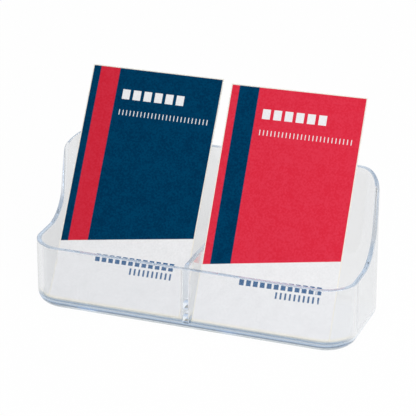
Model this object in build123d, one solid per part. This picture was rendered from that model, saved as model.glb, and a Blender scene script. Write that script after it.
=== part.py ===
from build123d import *
import math
import os

# A clear two-pocket desk stand for portrait business cards, with one card leaning in each pocket.
# Millimetres and degrees. X runs across the stand, Y from the front wall to the back wall, Z up.
# The origin is the middle of the underside.

# Cards: each has its lower left corner at the front wall and its right side swung back
CARD_WIDTH = 50.8
CARD_HEIGHT = 88.9
CARD_THICKNESS = 0.35
CARD_CLEARANCE = 0.12
LEFT_CARD_SWING = 2.5
RIGHT_CARD_SWING = 4.1

# Pockets: the free width beside a card, and the share of it to the left of the left card
CARD_PLAY = 7.65
LEFT_CARD_SHARE = 0.64

# Outside of the moulding
DEPTH = 43.9
BACK_HEIGHT = 55.3
FRONT_HEIGHT = 24.9
FRONT_CORNER = 11.8
REAR_CORNER = 10.8
BACK_TOP_CORNER = 8.4
TOP_CORNER_LEAD = 0.2
BASE_ROUND = 4.6

# Walls of the moulding and the small roundings between them
WALL = 1.8
FLOOR = 2.8
DIVIDER = 1.9
POCKET_ROUND = 1.4
RIM_ROUND = 0.4
DIVIDER_ROUND = 0.7
DIVIDER_EDGE = 0.5

# Side rim: level behind the front wall, then a sweep that leans back up to the back wall
SWEEP_START = 19.7
SWEEP_RADIUS = 12.8
SWEEP_LEAN = 11.0

# The divider stands a little above the front wall, with a round front top corner
DIVIDER_RISE = 0.6
NOSE_RADIUS = 4.0

# Two faces that meet at less than this angle make a smooth seam, not an edge
SMOOTH_ANGLE = 15.0

# Sizes and places worked out from those above
POCKET_WIDTH = CARD_WIDTH + CARD_PLAY
WIDTH = 2 * (WALL + POCKET_WIDTH) + DIVIDER
FRONT = -DEPTH / 2
FRONT_INSIDE = FRONT + WALL
BACK_INSIDE = DEPTH / 2 - WALL
DIVIDER_FACE = DIVIDER / 2
DIVIDER_TOP = FRONT_HEIGHT + DIVIDER_RISE
POCKET_DEPTH = BACK_INSIDE - FRONT_INSIDE
POCKET_FRONT_CORNER = FRONT_CORNER - WALL
POCKET_REAR_CORNER = REAR_CORNER - WALL
RIM_EDGE = min(RIM_ROUND, WALL / 3)
DIVIDER_TOP_EDGE = min(DIVIDER_EDGE, DIVIDER / 3)
DIVIDER_ROOT = min(WALL, FLOOR) / 2
FOOT_HEIGHT = POCKET_ROUND * (1 - math.sqrt(0.5))
LEFT_CARD_GAP = CARD_PLAY * LEFT_CARD_SHARE
CLEAR_ABOVE = 2 * BACK_HEIGHT


def outer_block():
    """The tub before it is hollowed: rounded in plan, along the base and at the two top corners.

    The round of a top corner leads in at a slight angle to the side, so the two never only touch.
    """
    plan = Rectangle(WIDTH, DEPTH)
    plan = fillet(plan.vertices().group_by(Axis.Y)[0], FRONT_CORNER)
    plan = fillet(plan.vertices().group_by(Axis.Y)[-1], REAR_CORNER)
    block = extrude(plan, BACK_HEIGHT)
    block = fillet(block.edges().group_by(Axis.Z)[0], BASE_ROUND)
    elevation = Pos(0, BACK_HEIGHT / 2) * Rectangle(WIDTH + TOP_CORNER_LEAD, BACK_HEIGHT)
    elevation = fillet(elevation.vertices().group_by(Axis.Y)[-1], BACK_TOP_CORNER)
    return block & extrude(Plane.XZ * elevation, DEPTH, both=True)


def hollow():
    """The inside of the tub before it is divided: rounded in plan and along the floor."""
    plan = Rectangle(WIDTH - 2 * WALL, POCKET_DEPTH)
    plan = fillet(plan.vertices().group_by(Axis.Y)[0], POCKET_FRONT_CORNER)
    plan = fillet(plan.vertices().group_by(Axis.Y)[-1], POCKET_REAR_CORNER)
    inside = Pos(0, 0, FLOOR) * extrude(plan, CLEAR_ABOVE)
    return fillet(inside.edges().group_by(Axis.Z)[0], POCKET_ROUND)


def rim_cutter():
    """All that lies above the side rim: a level line, an arc and a line leaning back to the top."""
    lean = math.radians(SWEEP_LEAN)
    start = (FRONT + SWEEP_START, FRONT_HEIGHT)
    half_turn = (math.pi / 2 - lean) / 2

    def on_arc(angle):
        run = SWEEP_RADIUS * math.sin(angle)
        rise = SWEEP_RADIUS * (1 - math.cos(angle))
        return (start[0] + run, start[1] + rise)

    finish = on_arc(2 * half_turn)
    top = (finish[0] + (CLEAR_ABOVE - finish[1]) * math.tan(lean), CLEAR_ABOVE)
    outline = [
        Line((2 * FRONT, FRONT_HEIGHT), start),
        ThreePointArc(start, on_arc(half_turn), finish),
        Line(finish, top),
        Polyline(top, (2 * FRONT, CLEAR_ABOVE), (2 * FRONT, FRONT_HEIGHT)),
    ]
    return extrude(Plane.YZ * make_face(outline), WIDTH, both=True)


def rim_edges(tub):
    """The edges along the tops of the walls, less the seams where two faces run on smoothly."""
    faces = tub.faces()
    rim_faces = faces.filter_by(lambda face: face.bounding_box().min.Z > FRONT_HEIGHT - RIM_EDGE)

    def is_sharp(edge):
        first, second = [face for face in faces if edge in face.edges()]
        middle = edge.position_at(0.5)
        return first.normal_at(middle).get_angle(second.normal_at(middle)) > SMOOTH_ANGLE

    each_edge_once = ShapeList(dict.fromkeys(rim_faces.edges()))
    return each_edge_once.filter_by(is_sharp)


def divider():
    """The wall between the pockets: a soft-edged plate with a round nose, rooted in the tub."""
    length = POCKET_DEPTH + 2 * DIVIDER_ROOT
    height = DIVIDER_TOP - FLOOR + DIVIDER_ROOT
    outline = Pos(0, DIVIDER_TOP - height / 2) * Rectangle(length, height)
    outline = fillet(outline.vertices().group_by(Axis.Y)[0], POCKET_ROUND + DIVIDER_ROOT)
    outline = fillet(outline.vertices().group_by(Axis.Y)[-1].sort_by(Axis.X)[0], NOSE_RADIUS)
    plate = extrude(Plane.YZ * outline, DIVIDER_FACE, both=True)
    sides = plate.faces().sort_by(Axis.X)
    return fillet(sides[0].edges() + sides[-1].edges(), DIVIDER_TOP_EDGE)


def build_holder():
    """The whole moulding: the hollowed block with its rim softened, and the divider blended in."""
    tub = outer_block() - hollow() - rim_cutter()
    tub = fillet(rim_edges(tub), RIM_EDGE)
    plate = divider()
    body = tub + plate
    return fillet(new_edges(tub, plate, combined=body), DIVIDER_ROUND)


def card_seat(behind_wall, swing):
    """How a card stands: Y and Z of its lower left corner, then its lean and its turn in radians.

    The lower left corner rests on the rounding between floor and front wall and the lower right
    corner on the floor, so the card is turned a little in its own plane. Its right side is swung
    back, and rests on the rounded inner edge of the back wall's top.
    """
    corner_y = FRONT_INSIDE + behind_wall + CARD_CLEARANCE
    corner_z = FLOOR + FOOT_HEIGHT + CARD_CLEARANCE
    swung_back = CARD_WIDTH * math.sin(swing)
    run = (BACK_INSIDE + RIM_EDGE - corner_y - swung_back) / math.cos(swing)
    rise = BACK_HEIGHT - RIM_EDGE - corner_z
    standoff = CARD_THICKNESS + RIM_EDGE + CARD_CLEARANCE
    lean = math.atan2(run, rise) - math.asin(standoff / math.hypot(run, rise))
    drop = FOOT_HEIGHT - CARD_THICKNESS * math.sin(lean)
    turn = math.asin(drop / (CARD_WIDTH * math.cos(lean)))
    return corner_y, corner_z, lean, turn


def place_card(corner, swing, lean, turn):
    """A plain card put down by its lower left corner, swung, leaning back and turned in its plane."""
    sheet = Box(CARD_WIDTH, CARD_THICKNESS, CARD_HEIGHT, align=(Align.MIN, Align.MIN, Align.MIN))
    attitude = Rot(Z=math.degrees(swing)) * Rot(X=-math.degrees(lean)) * Rot(Y=math.degrees(turn))
    slope = (attitude * Pos(0, 0, 1)).position
    print(f"card corner {corner}, leaning {math.degrees(lean):.3f} degrees, slides along {slope}")
    return Pos(*corner) * attitude * sheet


def build_left_card():
    """The left card's lower left corner meets the round front corner of the pocket."""
    swing = math.radians(LEFT_CARD_SWING)
    corner_reach = max(POCKET_FRONT_CORNER - LEFT_CARD_GAP, 0)
    corner_radius = POCKET_FRONT_CORNER - FOOT_HEIGHT
    behind_wall = POCKET_FRONT_CORNER - math.sqrt(corner_radius**2 - corner_reach**2)
    corner_y, corner_z, lean, turn = card_seat(behind_wall, swing)
    corner_x = WALL + LEFT_CARD_GAP - WIDTH / 2
    return place_card((corner_x, corner_y, corner_z), swing, lean, turn)


def build_right_card():
    """The right card's left edge just clears the divider where it passes the divider's top."""
    swing = math.radians(RIGHT_CARD_SWING)
    corner_y, corner_z, lean, turn = card_seat(FOOT_HEIGHT, swing)
    edge_slant = math.sin(swing) * math.sin(lean) * math.cos(turn) - math.cos(swing) * math.sin(turn)
    along_edge = (DIVIDER_TOP - corner_z) / math.cos(lean)
    beside_divider = CARD_CLEARANCE + CARD_THICKNESS * math.sin(swing) + max(edge_slant, 0) * along_edge
    return place_card((DIVIDER_FACE + beside_divider, corner_y, corner_z), swing, lean, turn)


parts = {
    "holder": build_holder(),
    "left_card": build_left_card(),
    "right_card": build_right_card(),
}

os.makedirs("parts", exist_ok=True)
for name, shape in parts.items():
    export_step(shape, f"parts/{name}.step")
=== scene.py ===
import math

import bpy
import numpy as np
from mathutils import Matrix, Vector


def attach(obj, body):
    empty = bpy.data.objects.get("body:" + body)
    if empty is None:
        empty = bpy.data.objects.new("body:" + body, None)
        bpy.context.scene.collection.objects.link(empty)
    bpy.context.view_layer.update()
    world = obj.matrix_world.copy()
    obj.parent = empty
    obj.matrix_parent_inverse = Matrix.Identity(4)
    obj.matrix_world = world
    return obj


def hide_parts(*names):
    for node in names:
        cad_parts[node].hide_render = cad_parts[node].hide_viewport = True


# A clear two-pocket desk stand with a blue and a red card leaning in it.
# Metres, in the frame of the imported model: X to the right, Y to the back, Z up.

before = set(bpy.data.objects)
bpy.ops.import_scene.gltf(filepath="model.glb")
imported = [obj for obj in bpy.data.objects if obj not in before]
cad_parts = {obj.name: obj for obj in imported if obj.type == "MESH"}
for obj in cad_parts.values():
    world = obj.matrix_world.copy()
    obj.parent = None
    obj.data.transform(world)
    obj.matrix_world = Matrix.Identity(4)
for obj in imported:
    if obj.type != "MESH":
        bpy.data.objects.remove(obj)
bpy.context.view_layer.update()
scene = bpy.context.scene
scene.view_settings.view_transform = "Standard"

MM = 0.001

# Camera, worked out from the cards' edges and the stand's outline
LENS = 209.9
SENSOR = 36.0
CLIP_START = 0.01
CAMERA_AZIMUTH = 20.40
CAMERA_HEIGHT_ANGLE = 23.51
CAMERA_DISTANCE = 878.5 * MM
CAMERA_TARGET = Vector((-0.88, 5.0, 37.49)) * MM

# Cards: grid of the sheet, how far its middle bows forward and the name of its print coordinates
SHEET_ACROSS = 24
SHEET_UP = 40
SHEET_BOW = 0.12 * MM
CARD_UV = "card"

# Printed front, in millimetres from the card's lower left corner, with the softness of its edges
STRIPE_LEFT = 3.1
STRIPE_RIGHT = 10.6
FIELD_FOOT_LEFT = 21.3
FIELD_FOOT_RIGHT = 28.6
FIELD_EDGE = 0.25
MARGIN = 0.35
PRINT_EDGE = 0.2

# Rows of plain blocks on a card: the pitch of a row's blocks and the share of it that is inked
HEAD_ROW = {"left": 12.6, "count": 6, "pitch": 4.2, "share": 0.7, "lower": 77.0, "upper": 80.7}
FINE_ROW = {"left": 12.6, "count": 25, "pitch": 1.42, "share": 0.22, "lower": 70.9, "upper": 72.9}
FOOT_ROW = {"left": 14.7, "count": 12, "pitch": 2.57, "share": 0.68, "lower": 15.9, "upper": 18.4}
LAST_ROW = {"left": 28.4, "count": 10, "pitch": 1.7, "share": 0.4, "lower": 12.6, "upper": 15.0}

# Grain of the paper: two sizes of noise, and how strongly it shows in ink, roughness and relief
FIBRES = {"Scale": 1400.0, "Detail": 3.0}
FIBRE_WEIGHT = 0.7
CLOUDS = {"Scale": 260.0, "Detail": 2.0}
CLOUD_WEIGHT = 0.3
NOISE_MIDDLE = 0.5
INK_CONTRAST = 5.0
INK_MIDDLE = 0.5
ROUGHNESS_SPREAD = 0.2
RELIEF_HEIGHT = 0.03 * MM

# Finish of a card's print and of its bare stock
PRINT_FINISH = {"mottle": 0.25, "roughness": 0.62, "relief": 0.15}
STOCK_FINISH = {"mottle": 0.2, "roughness": 0.7, "relief": 0.2}

# Clear plastic: light that was thrown back inside it more often than this leaves in a straight line
TRAPPED_AFTER = 3.5
REFRACTION = 1.57
DEPTH_COLOUR = (0.05, 0.38, 0.78, 1.0)
DEPTH_DENSITY = 3.5

# Skin of the plastic: finger marks that dull its polish, and shallow moulding waves
MARKS = {"Scale": 90.0, "Detail": 4.0}
POLISH = 0.005
MARK_DULLNESS = 0.05
WAVES = {"Scale": 38.0, "Detail": 1.0}
WAVE_STRENGTH = 0.12
WAVE_HEIGHT = 0.4 * MM

# Rims of the plastic, painted with shade: they face up by this slope and stand above this height, with
# soft limits
EDGE_SLOPE = 0.45
EDGE_SLOPE_RAMP = 0.4
EDGE_ABOVE = 15.0 * MM
EDGE_ABOVE_RAMP = 2.0 * MM

# How strong the rims' painted shade is, on the divider and elsewhere, and how far from the middle it
# changes
DIVIDER_SHADE_STRENGTH = 0.4
RIM_SHADE_STRENGTH = 0.95
DIVIDER_REACH = 2.5 * MM
DIVIDER_RAMP = 2.0 * MM

# Floor's front edge: painted slate shade between two heights, inside a wider painted cream reflection,
# with soft limits
SHADE_BAND = (2.2 * MM, 4.6 * MM)
SHADE_RAMP = 0.8 * MM
REFLECTION_BAND = (0.5 * MM, 5.6 * MM)
REFLECTION_RAMP = 0.6 * MM

# The bands lie ahead of this depth and leave out what is level from this slope on
BAND_AHEAD_OF = -14.0 * MM
BAND_AHEAD_RAMP = 8.0 * MM
LEVEL_SLOPE = 0.93
LEVEL_RAMP = 0.1

# Inks, papers, tints, painted shade and painted reflection, linear
NAVY_INK = (0.0004, 0.041, 0.105, 1.0)
RED_INK = (0.72, 0.031, 0.062, 1.0)
STRIPE_RED_INK = (0.63, 0.024, 0.048, 1.0)
WHITE_PAPER = (0.85, 0.85, 0.86, 1.0)
CREAM_STOCK = (0.86, 0.83, 0.76, 1.0)
FOOT_INK = (0.006, 0.10, 0.26, 1.0)
THICK_INK = (0.95, 0.75, 0.80, 1.0)
THIN_INK = (1.05, 1.25, 1.20, 1.0)
# Painted slate shade for the rims and for the floor's front edge, and the cream of painted reflection
# lines beside it
PAINTED_RIM_SHADE = (0.42, 0.54, 0.70, 1.0)
PAINTED_FLOOR_SHADE = (0.32, 0.43, 0.58, 1.0)
PAINTED_CREAM_REFLECTION = (1.0, 0.96, 0.84, 1.0)
CLEAR = (0.97, 0.974, 0.98, 1.0)

# Studio, linear: soft light for the object, white with a slate ceiling to be seen in the plastic
WHITE = (1.0, 1.0, 1.0, 1.0)
SOFT_LIGHT = (0.43, 0.4345, 0.442, 1.0)
SLATE_CEILING = (0.62, 0.70, 0.82, 1.0)
CEILING_MIDDLE = 0.55
CEILING_RAMP = 0.7

# Table top, just below the stand: the share of pure white seen in any way, and more in the open
TABLE_WHITE = (0.9, 0.9, 0.9, 1.0)
TABLE_REACH = 3.0
TABLE_BELOW = 0.2 * MM
TABLE_GLOW = 0.57
OPEN_TABLE_GLOW = 0.41

# Lamp
LAMP_PLACE = (0.85, -0.6, 0.75)
LAMP_TARGET = (0.0, 0.0, 0.04)
LAMP_SIZE = 0.8
LAMP_POWER = 11.4

# A ray's turns are whole numbers, so this tells none from one or more
NO_TURN = 0.5


class Value:
    """A shader socket that can be added, subtracted, multiplied and compared."""

    def __init__(self, shader, socket):
        self.shader = shader
        self.socket = socket

    def math(self, operation, *others):
        operands = dict(enumerate((self, *others)))
        return self.shader.node("ShaderNodeMath", {"operation": operation}, operands)

    def __add__(self, other):
        return self.math("ADD", other)

    def __sub__(self, other):
        return self.math("SUBTRACT", other)

    def __rsub__(self, other):
        return self.shader.node("ShaderNodeMath", {"operation": "SUBTRACT"}, {0: other, 1: self})

    def __mul__(self, other):
        return self.math("MULTIPLY", other)

    def step(self, edge, softness):
        """0 below the edge and 1 above it, with a short smooth ramp between."""
        ramp = {"Value": self, "From Min": edge - softness / 2, "From Max": edge + softness / 2}
        return self.shader.node("ShaderNodeMapRange", {"interpolation_type": "SMOOTHSTEP"}, ramp)

    def between(self, low, high, softness):
        """1 between two limits and 0 outside them."""
        return self.step(low, softness) * (1 - self.step(high, softness))


class Shader:
    """A material's or world's node tree, filled in node by node."""

    def __init__(self, tree):
        self.tree = tree
        self.tree.nodes.clear()

    def node(self, kind, settings=None, inputs=None, output=0):
        """Adds a node, applies its settings, then fills or links its inputs; gives one output."""
        made = self.tree.nodes.new(kind)
        for key, value in (settings or {}).items():
            setattr(made, key, value)
        for key, value in (inputs or {}).items():
            if isinstance(value, Value):
                self.tree.links.new(value.socket, made.inputs[key])
            else:
                made.inputs[key].default_value = value
        return Value(self, made.outputs[output]) if made.outputs else None

    def split(self, vector):
        """The three components of a vector."""
        sockets = self.node("ShaderNodeSeparateXYZ", inputs={0: vector}).socket.node.outputs
        return [Value(self, socket) for socket in sockets]

    def light_path(self, *names):
        """What is known of the ray being traced, one value for each name."""
        sockets = self.node("ShaderNodeLightPath").socket.node.outputs
        return [Value(self, sockets[name]) for name in names]

    def noise(self, place, grain):
        """Noise at a place, of the size and detail that the grain gives."""
        return self.node("ShaderNodeTexNoise", inputs={"Vector": place, **grain})

    def bump(self, strength, distance, height):
        """A normal that follows the slopes of a height."""
        sockets = {"Strength": strength, "Distance": distance, "Height": height}
        return self.node("ShaderNodeBump", inputs=sockets)

    def blend(self, factor, first, second, how="MIX"):
        """The first colour where the factor is 0 and the second, or their product, where it is 1."""
        sockets = {"Factor": factor, 6: first, 7: second}
        return self.node("ShaderNodeMix", {"data_type": "RGBA", "blend_type": how}, sockets, output=2)


def new_material(name):
    """An empty material and the shader that fills its node tree."""
    material = bpy.data.materials.new(name)
    material.use_nodes = True
    return material, Shader(material.node_tree)


def tint_and_painted_shade(shader, place):
    """Colour of the plastic: painted slate shade on its rims and at its floor's front edge, clear
    elsewhere.

    Rims are what faces up and stands high; their painted shade is weaker on the divider. The floor's
    front edge shows a band of painted slate shade between two thin lines of painted cream reflection.
    """
    normal = shader.node("ShaderNodeNewGeometry", output="Normal")
    slope = shader.split(normal)[2].math("ABSOLUTE")
    across, depth, height = shader.split(place)
    level = slope.step(LEVEL_SLOPE, LEVEL_RAMP)
    off_divider = across.math("ABSOLUTE").step(DIVIDER_REACH, DIVIDER_RAMP)
    strength = off_divider * (RIM_SHADE_STRENGTH - DIVIDER_SHADE_STRENGTH) + DIVIDER_SHADE_STRENGTH
    # Painted shade: slate on what faces up and stands high
    rims = slope.step(EDGE_SLOPE, EDGE_SLOPE_RAMP) * height.step(EDGE_ABOVE, EDGE_ABOVE_RAMP) * strength
    # Painted slate shade and painted cream reflection lines along the floor's front edge
    front_edge = (1 - level) * (1 - depth.step(BAND_AHEAD_OF, BAND_AHEAD_RAMP))
    slate = front_edge * height.between(*SHADE_BAND, SHADE_RAMP)
    warm = front_edge * height.between(*REFLECTION_BAND, REFLECTION_RAMP)
    floor = shader.blend(slate, shader.blend(warm, CLEAR, PAINTED_CREAM_REFLECTION), PAINTED_FLOOR_SHADE)
    return shader.blend(rims, floor, PAINTED_RIM_SHADE)


def clear_plastic():
    """Polished clear plastic with painted slate shade along its edges, moulding waves and faint finger
    marks.

    Light straight from a lamp or off a card or the table passes unbent, so the cards stay lit.
    """
    material, shader = new_material("clear_plastic")
    place = shader.node("ShaderNodeTexCoord", output="Object")
    plastic = shader.node("ShaderNodeBsdfPrincipled", inputs={
        "Base Color": tint_and_painted_shade(shader, place),
        "Roughness": shader.noise(place, MARKS) * MARK_DULLNESS + POLISH,
        "IOR": REFRACTION,
        "Transmission Weight": 1.0,
        "Normal": shader.bump(WAVE_STRENGTH, WAVE_HEIGHT, shader.noise(place, WAVES)),
    })
    turns, shadow, diffuse = shader.light_path("Glossy Depth", "Is Shadow Ray", "Is Diffuse Ray")
    trapped = turns.math("GREATER_THAN", TRAPPED_AFTER)
    straight_on = trapped.math("MAXIMUM", shadow).math("MAXIMUM", diffuse)
    opening = shader.node("ShaderNodeBsdfTransparent")
    surface = shader.node("ShaderNodeMixShader", inputs={0: straight_on, 1: plastic, 2: opening})
    absorption = {"Color": DEPTH_COLOUR, "Density": DEPTH_DENSITY}
    depth = shader.node("ShaderNodeVolumeAbsorption", inputs=absorption)
    shader.node("ShaderNodeOutputMaterial", inputs={"Surface": surface, "Volume": depth})
    return material


def paper_grain(shader):
    """Fine mottling of uncoated stock, centred on zero, from two sizes of noise."""
    place = shader.node("ShaderNodeTexCoord", output="Object")
    fibres = shader.noise(place, FIBRES) - NOISE_MIDDLE
    clouds = shader.noise(place, CLOUDS) - NOISE_MIDDLE
    return fibres * FIBRE_WEIGHT + clouds * CLOUD_WEIGHT


def paper_surface(shader, grain, colour, mottle, roughness, relief):
    """Matt paper of a colour, whose grain shows in its brightness, roughness and relief."""
    mottled = {"Value": grain * mottle + 1.0, "Color": colour}
    surface = shader.node("ShaderNodeBsdfPrincipled", inputs={
        "Base Color": shader.node("ShaderNodeHueSaturation", inputs=mottled),
        "Roughness": grain * ROUGHNESS_SPREAD + roughness,
        "Specular IOR Level": 0.0,
        "Normal": shader.bump(relief, RELIEF_HEIGHT, grain),
    })
    shader.node("ShaderNodeOutputMaterial", inputs={"Surface": surface})


def block_row(across, up, left, count, pitch, share, lower, upper):
    """1 inside a row of upright blocks, 0 between and around them."""
    along = ((across - left) * (1 / pitch)).math("FRACT")
    blocks = along.between((1 - share) / 2, (1 + share) / 2, PRINT_EDGE / pitch)
    row = across.between(left, left + count * pitch, PRINT_EDGE) * up.between(lower, upper, PRINT_EDGE)
    return blocks * row


def printed_card(name, width, height, field_ink, stripe_ink):
    """White card with an inked field above a slanting edge, a stripe at its left and rows of blocks."""
    material, shader = new_material(name)
    width_mm = width / MM
    height_mm = height / MM
    part_across, part_up = shader.split(shader.node("ShaderNodeUVMap", {"uv_map": CARD_UV}))[:2]
    across = part_across * width_mm
    up = part_up * height_mm
    grain = paper_grain(shader)

    stripe = across.between(STRIPE_LEFT, STRIPE_RIGHT, PRINT_EDGE)
    ink = shader.blend(stripe, field_ink, stripe_ink)
    unevenness = shader.blend(grain * INK_CONTRAST + INK_MIDDLE, THIN_INK, THICK_INK)
    ink = shader.blend(1.0, ink, unevenness, "MULTIPLY")
    light_rows = block_row(across, up, **HEAD_ROW) + block_row(across, up, **FINE_ROW)
    ink = shader.blend(light_rows, ink, WHITE_PAPER)
    dark_rows = block_row(across, up, **FOOT_ROW) + block_row(across, up, **LAST_ROW)
    foot = shader.blend(dark_rows, WHITE_PAPER, FOOT_INK)

    slant = (FIELD_FOOT_RIGHT - FIELD_FOOT_LEFT) / width_mm
    field = (up - across * slant).step(FIELD_FOOT_LEFT, FIELD_EDGE)
    within_sides = across.between(MARGIN, width_mm - MARGIN, PRINT_EDGE)
    within = within_sides * up.between(0.0, height_mm - MARGIN, PRINT_EDGE)
    colour = shader.blend(within, CREAM_STOCK, shader.blend(field, foot, ink))
    paper_surface(shader, grain, colour, **PRINT_FINISH)
    return material


def card_stock():
    """The bare stock of a card: its plain back and its creamy cut edges."""
    material, shader = new_material("card_stock")
    paper_surface(shader, paper_grain(shader), CREAM_STOCK, **STOCK_FINISH)
    return material


def card_axes(node):
    """A card's middle, its three directions and its three sizes, from the corners of its CAD sheet.

    The directions are the principal axes of the corners: up along the longest, across along the
    next and facing, which points to the front, along the thickness.
    """
    corners = np.empty(len(node.data.vertices) * 3)
    node.data.vertices.foreach_get("co", corners)
    corners = corners.reshape(-1, 3)
    middle = (corners.min(0) + corners.max(0)) / 2
    offsets = corners - middle
    facing, across, up = np.linalg.eigh(offsets.T @ offsets)[1].T
    up = up * np.sign(up[2])
    across = across * np.sign(across[0])
    facing = -facing * np.sign(facing[1])
    sizes = [np.ptp(corners @ axis) for axis in (across, up, facing)]
    return middle, (across, up, facing), sizes


def card_sheet(name, node):
    """A closed thin sheet over a CAD card: a front and a back grid, joined round the rim.

    A point at (s, t), each from 0 to 1, lies at across (s - 1/2) and up (t - 1/2) from the middle.
    The front and back stand half the thickness off it, and both bow to the front by
    SHEET_BOW sin(pi s) sin(pi t), so the rim stays where the CAD card has it.
    """
    middle, (across, up, facing), (width, height, thickness) = card_axes(node)
    upward = np.linspace(0, 1, SHEET_UP + 1)
    sideways = np.linspace(0, 1, SHEET_ACROSS + 1)
    t, s = [grid.ravel() for grid in np.meshgrid(upward, sideways, indexing="ij")]
    bow = SHEET_BOW * np.sin(np.pi * s) * np.sin(np.pi * t)
    flat = middle + np.outer((s - 0.5) * width, across) + np.outer((t - 0.5) * height, up)
    sheet = flat + np.outer(bow, facing)
    points = np.concatenate([sheet + facing * thickness / 2, sheet - facing * thickness / 2])

    row = SHEET_ACROSS + 1
    index = np.arange(len(sheet)).reshape(SHEET_UP + 1, row)
    low_left = index[:-1, :-1].ravel()
    front = np.stack([low_left, low_left + 1, low_left + row + 1, low_left + row], 1)
    back = front[:, ::-1] + len(sheet)
    loop = np.concatenate([index[0, :-1], index[:-1, -1], index[-1, :0:-1], index[:0:-1, 0]])
    following = np.roll(loop, -1)
    rim = np.stack([following, loop, loop + len(sheet), following + len(sheet)], 1)
    faces = np.concatenate([front, back, rim])

    mesh = bpy.data.meshes.new(name)
    mesh.from_pydata(points.tolist(), [], faces.tolist())
    is_front = np.arange(len(faces)) < len(front)
    mesh.polygons.foreach_set("material_index", np.where(is_front, 0, 1))
    uv = mesh.uv_layers.new(name=CARD_UV)
    corner_uv = np.tile(np.stack([s, t], 1), (2, 1))[faces.ravel()]
    uv.uv.foreach_set("vector", corner_uv.ravel())
    mesh.update()
    sheet_object = bpy.data.objects.new(name, mesh)
    scene.collection.objects.link(sheet_object)
    return sheet_object, width, height


def dress_card(body, field_ink, stripe_ink, stock):
    """Puts a printed sheet in place of a plain CAD card."""
    sheet, width, height = card_sheet(body + "_sheet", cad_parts[body])
    sheet.data.materials.append(printed_card(body + "_print", width, height, field_ink, stripe_ink))
    sheet.data.materials.append(stock)
    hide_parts(body)
    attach(sheet, body)


def dress_holder():
    """Gives the CAD moulding its clear plastic."""
    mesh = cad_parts["holder"].data
    mesh.materials.clear()
    mesh.materials.append(clear_plastic())


def seen_directly(shader):
    """1 for what the camera sees, in the open, mirrored or through clear plastic; 0 for diffuse light."""
    kinds = ("Is Camera Ray", "Is Glossy Ray", "Is Transmission Ray", "Diffuse Depth")
    open_view, mirrored, through, diffuse_turns = shader.light_path(*kinds)
    sharp = open_view.math("MAXIMUM", mirrored).math("MAXIMUM", through)
    return sharp * diffuse_turns.math("LESS_THAN", NO_TURN)


def studio_floor():
    """A wide white table top under the stand that shows only a breath of its shadow."""
    signs = ((-1, -1), (1, -1), (1, 1), (-1, 1))
    corners = [(x * TABLE_REACH, y * TABLE_REACH, -TABLE_BELOW) for x, y in signs]
    mesh = bpy.data.meshes.new("floor")
    mesh.from_pydata(corners, [], [(0, 1, 2, 3)])
    floor = bpy.data.objects.new("floor", mesh)
    scene.collection.objects.link(floor)
    material, shader = new_material("white_table")
    matt = shader.node("ShaderNodeBsdfDiffuse", inputs={"Color": TABLE_WHITE})
    white = shader.node("ShaderNodeEmission", inputs={"Color": WHITE, "Strength": 1.0})
    open_view, = shader.light_path("Is Camera Ray")
    share = seen_directly(shader) * TABLE_GLOW + open_view * OPEN_TABLE_GLOW
    surface = shader.node("ShaderNodeMixShader", inputs={0: share, 1: matt, 2: white})
    shader.node("ShaderNodeOutputMaterial", inputs={"Surface": surface})
    mesh.materials.append(material)


def studio_world():
    """White with a slate ceiling where it is seen directly, and an even soft light elsewhere."""
    world = bpy.data.worlds.new("studio")
    world.use_nodes = True
    scene.world = world
    shader = Shader(world.node_tree)
    toward = shader.node("ShaderNodeTexCoord", output="Generated")
    ceiling = shader.split(toward)[2].step(CEILING_MIDDLE, CEILING_RAMP)
    around = shader.blend(ceiling, WHITE, SLATE_CEILING)
    colour = shader.blend(seen_directly(shader), SOFT_LIGHT, around)
    light = shader.node("ShaderNodeBackground", inputs={"Color": colour, "Strength": 1.0})
    shader.node("ShaderNodeOutputWorld", inputs={"Surface": light})


def key_lamp():
    """A large square lamp at the right front, aimed at the stand."""
    lamp = bpy.data.lights.new("key_lamp", "AREA")
    lamp.size = LAMP_SIZE
    lamp.energy = LAMP_POWER
    placed = bpy.data.objects.new("key_lamp", lamp)
    scene.collection.objects.link(placed)
    placed.location = LAMP_PLACE
    aim = Vector(LAMP_TARGET) - Vector(LAMP_PLACE)
    placed.rotation_euler = aim.to_track_quat("-Z", "Y").to_euler()


def camera():
    """The camera, placed by its angles and distance from the target."""
    azimuth = math.radians(CAMERA_AZIMUTH)
    height = math.radians(CAMERA_HEIGHT_ANGLE)
    level = math.cos(height)
    back = Vector((math.sin(azimuth) * level, -math.cos(azimuth) * level, math.sin(height)))
    right = Vector((math.cos(azimuth), math.sin(azimuth), 0.0))
    lens = bpy.data.cameras.new("camera")
    lens.lens = LENS
    lens.sensor_width = SENSOR
    lens.clip_start = CLIP_START
    placed = bpy.data.objects.new("camera", lens)
    scene.collection.objects.link(placed)
    turn = Matrix((right, back.cross(right), back)).transposed()
    placed.matrix_world = Matrix.Translation(CAMERA_TARGET + back * CAMERA_DISTANCE) @ turn.to_4x4()
    scene.camera = placed


camera()
dress_holder()
stock = card_stock()
dress_card("left_card", NAVY_INK, STRIPE_RED_INK, stock)
dress_card("right_card", RED_INK, NAVY_INK, stock)
studio_floor()
studio_world()
key_lamp()
